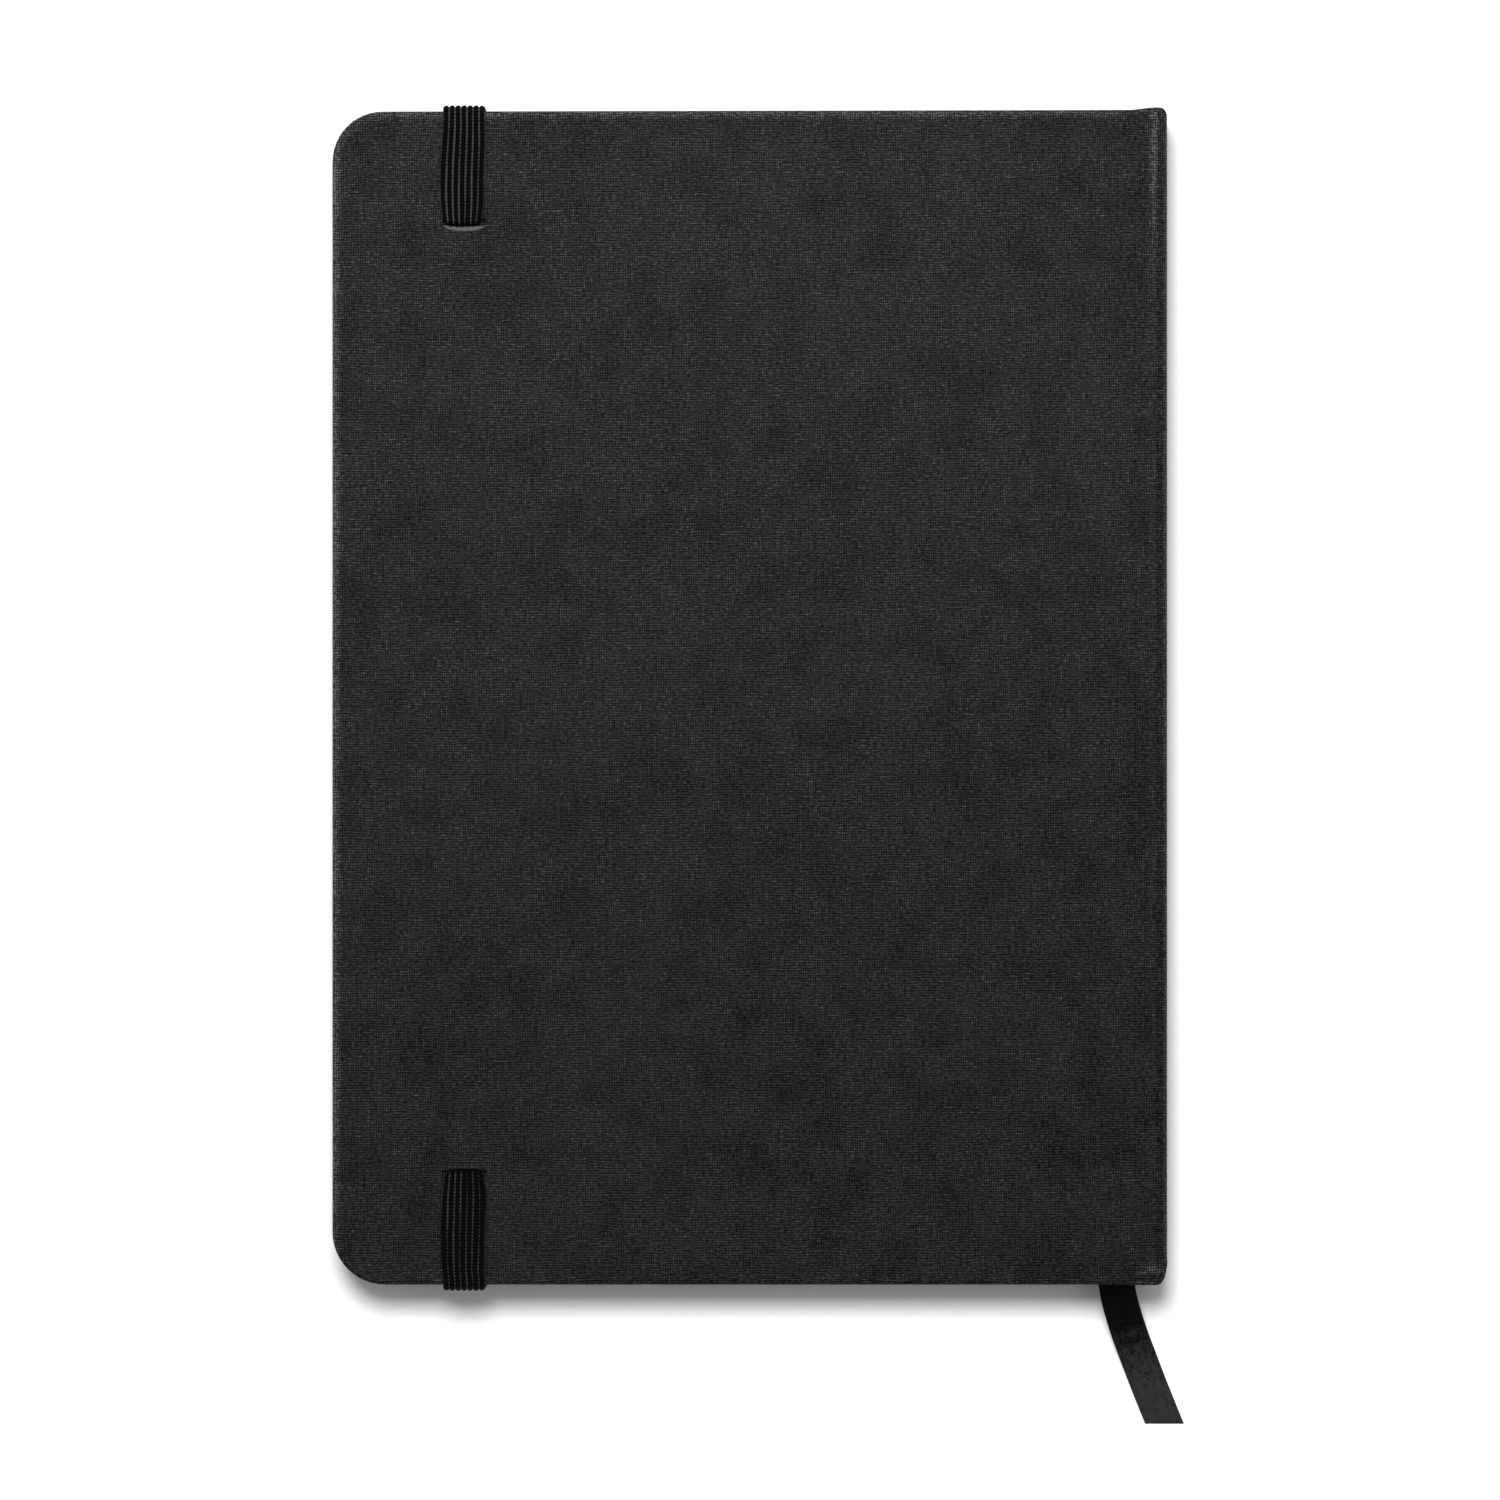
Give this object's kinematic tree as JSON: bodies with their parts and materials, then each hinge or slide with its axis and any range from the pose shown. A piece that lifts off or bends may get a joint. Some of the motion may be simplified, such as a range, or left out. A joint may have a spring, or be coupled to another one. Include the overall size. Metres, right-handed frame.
{
  "type": "sketchbook",
  "caption": "Case-bound A5 sketchbook with flat spine, sewn pages, ribbon marker and elastic closure; opens from both covers.",
  "frame": {"origin": "under the middle of the closed book, at the underside of the elastic that crosses the front cover", "axes": "+Z from the front cover to the back cover, +Y towards the head, +X towards the spine"},
  "size_m": [0.1532, 0.2372, 0.0174],
  "materials": {
    "cover": "matte linen-embossed coated paper",
    "elastic": "ribbed woven elastic",
    "ribbon": "satin",
    "greyboard": "matte",
    "paper": "uncoated",
    "endpaper": "uncoated",
    "mull": "open weave",
    "thread": "waxed",
    "headband": "woven"
  },
  "bodies": {
    "page_block": {"signature_1": "paper", "signature_2": "paper", "signature_3": "paper", "signature_4": "paper", "signature_5": "paper", "signature_6": "paper", "sewing_thread": "thread", "spine_mull": "mull", "spine_strip": "greyboard", "spine_skin": "cover", "headband_head": "headband", "headband_tail": "headband", "front_leaf_guard": "endpaper", "back_leaf_guard": "endpaper", "ribbon_marker": "ribbon", "ribbon_anchor": "ribbon"},
    "front_cover": {"front_cover_skin": "cover", "front_board": "greyboard", "front_pastedown": "endpaper"},
    "back_cover": {"back_cover_skin": "cover", "back_board": "greyboard", "back_pastedown": "endpaper", "elastic_strap_head": "elastic", "elastic_strap_tail": "elastic"},
    "elastic": {"elastic_leg_head": "elastic", "elastic_leg_tail": "elastic", "elastic_strand": "elastic"},
    "front_flyleaf": {"front_flyleaf": "endpaper"},
    "front_leaf_1": {"front_leaf_1": "paper"},
    "front_leaf_2": {"front_leaf_2": "paper"},
    "front_leaf_3": {"front_leaf_3": "paper"},
    "back_flyleaf": {"back_flyleaf": "endpaper"},
    "back_leaf_1": {"back_leaf_1": "paper"},
    "back_leaf_2": {"back_leaf_2": "paper"},
    "back_leaf_3": {"back_leaf_3": "paper"}
  },
  "joints": [
    {"name": "front_cover_open", "type": "hinge", "parent": "page_block", "child": "front_cover", "pos_m": [0.071, 0, 0.00095], "axis": [0, -1, 0], "range_deg": [0, 179.5]},
    {"name": "back_cover_open", "type": "hinge", "parent": "page_block", "child": "back_cover", "pos_m": [0.071, 0, 0.01647], "axis": [0, 1, 0], "range_deg": [0, 179.5]},
    {"name": "elastic_pull", "type": "slide", "parent": "back_cover", "child": "elastic", "axis": [-1, 0, 0], "range_m": [0, 0.032], "stiffness_N_per_m": 30, "deforming": ["elastic_leg_head", "elastic_leg_tail", "elastic_strand"]},
    {"name": "front_flyleaf_turn", "type": "hinge", "parent": "page_block", "child": "front_flyleaf", "pos_m": [0.0696, 0, 0.00465], "axis": [0, -1, 0], "range_deg": [0, 100.52]},
    {"name": "front_leaf_1_turn", "type": "hinge", "parent": "page_block", "child": "front_leaf_1", "pos_m": [0.0686, 0, 0.00483], "axis": [0, -1, 0], "range_deg": [0, 75.39]},
    {"name": "front_leaf_2_turn", "type": "hinge", "parent": "page_block", "child": "front_leaf_2", "pos_m": [0.0676, 0, 0.00501], "axis": [0, -1, 0], "range_deg": [0, 50.26]},
    {"name": "front_leaf_3_turn", "type": "hinge", "parent": "page_block", "child": "front_leaf_3", "pos_m": [0.0666, 0, 0.00519], "axis": [0, -1, 0], "range_deg": [0, 25.13]},
    {"name": "back_flyleaf_turn", "type": "hinge", "parent": "page_block", "child": "back_flyleaf", "pos_m": [0.0696, 0, 0.01277], "axis": [0, 1, 0], "range_deg": [0, 100.52]},
    {"name": "back_leaf_1_turn", "type": "hinge", "parent": "page_block", "child": "back_leaf_1", "pos_m": [0.0686, 0, 0.01259], "axis": [0, 1, 0], "range_deg": [0, 75.39]},
    {"name": "back_leaf_2_turn", "type": "hinge", "parent": "page_block", "child": "back_leaf_2", "pos_m": [0.0676, 0, 0.01241], "axis": [0, 1, 0], "range_deg": [0, 50.26]},
    {"name": "back_leaf_3_turn", "type": "hinge", "parent": "page_block", "child": "back_leaf_3", "pos_m": [0.0666, 0, 0.01223], "axis": [0, 1, 0], "range_deg": [0, 25.13]}
  ],
  "couplings": [
    {"joint": "front_flyleaf_turn", "follows": "front_cover_open", "ratio": 0.56},
    {"joint": "front_leaf_1_turn", "follows": "front_cover_open", "ratio": 0.42},
    {"joint": "front_leaf_2_turn", "follows": "front_cover_open", "ratio": 0.28},
    {"joint": "front_leaf_3_turn", "follows": "front_cover_open", "ratio": 0.14},
    {"joint": "back_flyleaf_turn", "follows": "back_cover_open", "ratio": 0.56},
    {"joint": "back_leaf_1_turn", "follows": "back_cover_open", "ratio": 0.42},
    {"joint": "back_leaf_2_turn", "follows": "back_cover_open", "ratio": 0.28},
    {"joint": "back_leaf_3_turn", "follows": "back_cover_open", "ratio": 0.14}
  ]
}
